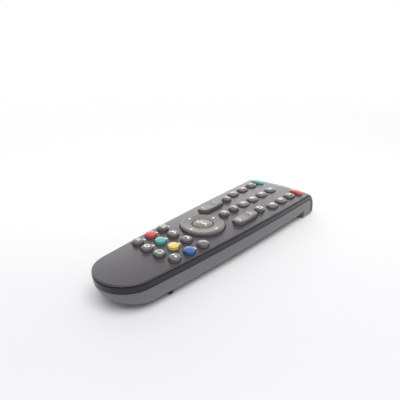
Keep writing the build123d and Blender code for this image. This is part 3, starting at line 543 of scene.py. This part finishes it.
def dress_keys():
    """Prints the numerals and symbols on the keys, and the short marks beside some of them."""
    ink = print_ink()
    for digit in range(10):
        node = f"key_{digit}"
        (x, y), _ = middle_of(node)
        middle = (x + NUMERAL_SHIFT[0], y + NUMERAL_SHIFT[1])
        size = (NUMERAL_HEIGHT, NUMERAL_STRETCH)
        height = dome_height(node, NUMBER_REACH)
        print_text(f"print_{digit}", str(digit), *size, middle, height, ink, node)
    for node, strokes in small_key_marks().items():
        middle, _ = middle_of(node)
        print_marks("print_" + node, strokes, middle, dome_height(node, SMALL_REACH), ink, node)
    for node, (near, far) in rocker_marks().items():
        middle, _ = middle_of(node)
        marks = [(path + (0, ROCKER_MARK_NEAR), half) for path, half in near]
        marks += [(path + (0, ROCKER_MARK_FAR), half) for path, half in far]
        print_marks("print_" + node, marks, middle, flat_height(node), ink, node)
    middle, _ = middle_of("key_ok")
    height = dome_height("key_ok", MIDDLE_REACH)
    print_text("print_ok", "OK", OK_HEIGHT, OK_STRETCH, middle, height, ink, "key_ok")
    middle, _ = middle_of("nav_ring")
    print_marks("print_arrows", arrow_marks(), middle, ring_height("nav_ring"), ink, "nav_ring")
    beside = [stroke(line((-BESIDE_HALF_LENGTH, 0), (BESIDE_HALF_LENGTH, 0)), BESIDE_WIDTH)]
    for node in MARKED_BESIDE:
        (x, y), _ = middle_of(node)
        place = (x + BESIDE_KEY[0], y + BESIDE_KEY[1])
        print_marks("print_by_" + node, beside, place, cover_height, ink, "remote_body")


def dress_openings(material):
    """Painted shade round each opening in the key face: a closed dark line round the key's cap."""
    reach = KEY_CLEARANCE + OPENING_SHADE_WIDTH / 2
    wide_reach = WIDE_CLEARANCE + OPENING_SHADE_WIDTH / 2
    number = rounded_box(*(size + reach for size in NUMBER_CAP))
    rocker = rounded_box(*(size + wide_reach for size in ROCKER_CAP))
    small_radius, ring_radius = SMALL_REACH + reach, RING_RADIUS + wide_reach
    small = arc(0, 0, small_radius, small_radius, 0, 360, SMALL_EDGE_POINTS)
    ring = arc(0, 0, ring_radius, ring_radius, 0, 360, RING_EDGE_POINTS)
    outlines = {f"key_{digit}": number for digit in range(10)}
    outlines |= {node: small for node in small_key_marks()}
    outlines |= {f"key_{colour}": small for colour in ("red", "green", "yellow", "blue")}
    outlines |= {"rocker_left": rocker, "rocker_right": rocker, "nav_ring": ring}
    for node, outline in outlines.items():
        middle, _ = middle_of(node)
        edge = stroke(outline, OPENING_SHADE_WIDTH)
        print_marks("opening_shade_" + node, [edge], middle, cover_height, material, "remote_body")


def seam(name, half_starts, half_aims, material):
    """A line of painted shade along a joint of the body. Rays from outside find the points of the joint
    and the way that the surface faces there; the other half of the line mirrors the first across the
    middle.
    The line's profile stands SEAM_LIFT over the surface and PRINT_SINK under it."""
    mirror = (-1, 1, 1)
    starts = np.vstack([half_starts, half_starts[::-1][1:] * mirror])
    aims = np.vstack([half_aims, half_aims[::-1][1:] * mirror])
    graph = bpy.context.evaluated_depsgraph_get()
    cast = bpy.context.scene.ray_cast
    hits = [cast(graph, start * MM, aim) for start, aim in zip(starts, aims)]
    points = np.array([hit[1] for hit in hits]) / MM
    facing = np.array([hit[2] for hit in hits])
    left = np.cross(facing, directions(points))
    left *= SEAM_WIDTH / 2 / np.linalg.norm(left, axis=1)[:, None]
    over, under = facing * SEAM_LIFT, -facing * PRINT_SINK
    profile = (points + left + under, points + left + over, points - left + over, points - left + under)
    corners = np.stack(profile, axis=1).reshape(-1, 3)
    return mesh_piece(name, corners, ribbon_faces(len(points)), material, "remote_body")


def dress_seams(material):
    """Painted shade along the joints above and below the dark band. The lower one turns down at the
    window's edge. Each line lies within a joint's width of the edge that it follows."""
    low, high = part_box("side_band")
    rim, top = low[2] / MM, high[2] / MM
    side = np.arange(FAR_CORNER_Y, TIP_CENTRE_Y, -SEAM_STEP)
    turns = np.radians(np.arange(0, -91, -TIP_STEP_DEGREES))
    tip = np.column_stack([np.cos(turns), np.sin(turns), 0 * turns])
    tip_starts = tip * OUTSIDE + (0, TIP_CENTRE_Y, 0)
    upper = np.column_stack([side, np.full(len(side), top - SEAM_WIDTH / 2)])
    bend = WINDOW_EDGE_Y - WINDOW_START_Y
    down = line((WINDOW_EDGE_Y, WINDOW_BOTTOM_Z), (WINDOW_EDGE_Y, rim - bend))[::WINDOW_EDGE_SKIP]
    corner = arc(WINDOW_START_Y, rim - bend, bend, bend, 0, 90, WINDOW_CORNER_POINTS)
    along = side[side < WINDOW_START_Y - SEAM_STEP]
    lower = np.vstack([down[:-1], corner, np.column_stack([along, np.full(len(along), rim)])])
    lower -= (SEAM_WIDTH / 3, SEAM_WIDTH / 3)
    for name, path in (("joint_shade_over_band", upper), ("joint_shade_under_band", lower)):
        starts = np.column_stack([np.full(len(path), OUTSIDE), path])
        starts = np.vstack([starts, tip_starts + (0, 0, path[-1, 1])])
        aims = np.vstack([np.tile((-1.0, 0.0, 0.0), (len(path), 1)), -tip])
        seam(name, starts, aims, material)


def add_camera():
    """The camera at the photograph's place and angle."""
    azimuth, elevation = np.radians(CAMERA_AZIMUTH), np.radians(CAMERA_ELEVATION)
    back = Vector(
        (np.sin(azimuth) * np.cos(elevation), -np.cos(azimuth) * np.cos(elevation), np.sin(elevation))
    )
    data = bpy.data.cameras.new("camera")
    data.lens = CAMERA_LENS
    data.sensor_width = SENSOR_WIDTH
    data.clip_start = CAMERA_NEAREST
    data.clip_end = CAMERA_FARTHEST
    camera = bpy.data.objects.new("camera", data)
    camera.location = Vector(CAMERA_PLACE) * MM
    camera.rotation_mode = "QUATERNION"
    roll = Quaternion((0, 0, 1), np.radians(CAMERA_ROLL))
    camera.rotation_quaternion = back.to_track_quat("Z", "Y") @ roll
    bpy.context.scene.collection.objects.link(camera)
    bpy.context.scene.camera = camera


def add_lamp(name, place, size, power, only_mirrored):
    """A soft rectangular lamp that faces the object, or one that shows in reflections alone."""
    data = bpy.data.lights.new(name, "AREA")
    data.shape = "RECTANGLE"
    data.size, data.size_y = size
    data.energy = power
    lamp = bpy.data.objects.new(name, data)
    lamp.location = place
    lamp.rotation_mode = "QUATERNION"
    lamp.rotation_quaternion = Vector(place).to_track_quat("Z", "Y")
    lamp.visible_diffuse = not only_mirrored
    bpy.context.scene.collection.objects.link(lamp)


def add_room():
    """A white room: the world lights the object plainly, its reflections are a little brighter than
    that light, and the camera sees white."""
    world = bpy.data.worlds.new("white_room")
    world.use_nodes = True
    tree = world.node_tree
    tree.nodes.clear()
    path = add_node(tree, "ShaderNodeLightPath")
    mirrored = add_node(
        tree,
        "ShaderNodeMix",
        {"data_type": "FLOAT"},
        {0: path.outputs["Is Glossy Ray"], 2: ROOM_LIGHT, 3: ROOM_REFLECTED},
    )
    strength = add_node(
        tree,
        "ShaderNodeMix",
        {"data_type": "FLOAT"},
        {0: path.outputs["Is Camera Ray"], 2: mirrored.outputs[0], 3: SKY_WHITE},
    )
    light = add_node(
        tree,
        "ShaderNodeBackground",
        {},
        {"Color": linear(WHITE), "Strength": strength.outputs[0]},
    )
    add_node(tree, "ShaderNodeOutputWorld", {}, {"Surface": light.outputs[0]})
    bpy.context.scene.world = world


def add_table():
    """A plain white table top that keeps the object's shadow: a little greyer towards the camera, as
    painted shade, and the white of the room far off."""
    material, tree = new_material("table_white_laminate")
    place = add_node(tree, "ShaderNodeTexCoord").outputs["Object"]
    azimuth = np.radians(CAMERA_AZIMUTH)
    away = (-np.sin(azimuth), np.cos(azimuth), 0.0)
    along = add_node(tree, "ShaderNodeVectorMath", {"operation": "DOT_PRODUCT"}, {0: place, 1: away})
    # Painted shade: the table's colour greys towards the camera, to white away from it.
    shade = add_node(
        tree,
        "ShaderNodeMapRange",
        {"data_type": "FLOAT_VECTOR", "interpolation_type": "SMOOTHSTEP"},
        {
            "Vector": along.outputs["Value"],
            "From Min": (TABLE_NEAR,) * 3,
            "From Max": (TABLE_FAR,) * 3,
            "To Min": linear(TABLE_SHADE_GREY)[:3],
            "To Max": linear(WHITE)[:3],
        },
    )
    distance = add_node(tree, "ShaderNodeVectorMath", {"operation": "LENGTH"}, {0: place})
    fade = add_node(
        tree,
        "ShaderNodeMapRange",
        {"interpolation_type": "SMOOTHSTEP"},
        {
            "Value": distance.outputs["Value"],
            "From Min": TABLE_FADE_START,
            "From Max": TABLE_FADE_END,
        },
    )
    lit = add_node(
        tree,
        "ShaderNodeBsdfPrincipled",
        {},
        {"Base Color": shade.outputs["Vector"], "Roughness": TABLE_ROUGHNESS},
    )
    white = add_node(tree, "ShaderNodeEmission", {}, {"Color": linear(WHITE), "Strength": SKY_WHITE})
    surface = add_node(
        tree,
        "ShaderNodeMixShader",
        {},
        {0: fade.outputs["Result"], 1: lit.outputs[0], 2: white.outputs[0]},
    )
    add_node(tree, "ShaderNodeOutputMaterial", {}, {"Surface": surface.outputs[0]})
    mesh = bpy.data.meshes.new("table")
    corners = [(x * TABLE_REACH, y * TABLE_REACH, 0) for x, y in ((-1, -1), (1, -1), (1, 1), (-1, 1))]
    mesh.from_pydata(corners, [], [(0, 1, 2, 3)])
    mesh.materials.append(material)
    table = bpy.data.objects.new("table", mesh)
    bpy.context.scene.collection.objects.link(table)


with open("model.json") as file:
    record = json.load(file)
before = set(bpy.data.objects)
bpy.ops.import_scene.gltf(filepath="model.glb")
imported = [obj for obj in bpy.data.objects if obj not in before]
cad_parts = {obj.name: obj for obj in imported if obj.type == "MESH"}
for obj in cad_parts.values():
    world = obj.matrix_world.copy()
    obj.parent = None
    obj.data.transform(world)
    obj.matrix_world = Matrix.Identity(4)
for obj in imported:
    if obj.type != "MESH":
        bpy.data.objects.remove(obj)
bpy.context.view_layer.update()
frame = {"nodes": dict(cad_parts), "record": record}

dress_nodes(frame, make_materials())
# Lines of painted shade in the joints of the body and round the openings in the key face.
painted_shade = joint_line_material()
dress_seams(painted_shade)
dress_openings(painted_shade)
dress_keys()

add_camera()
add_room()
add_table()
for lamp in LAMPS:
    add_lamp(*lamp)
bpy.context.scene.view_settings.view_transform = "Standard"
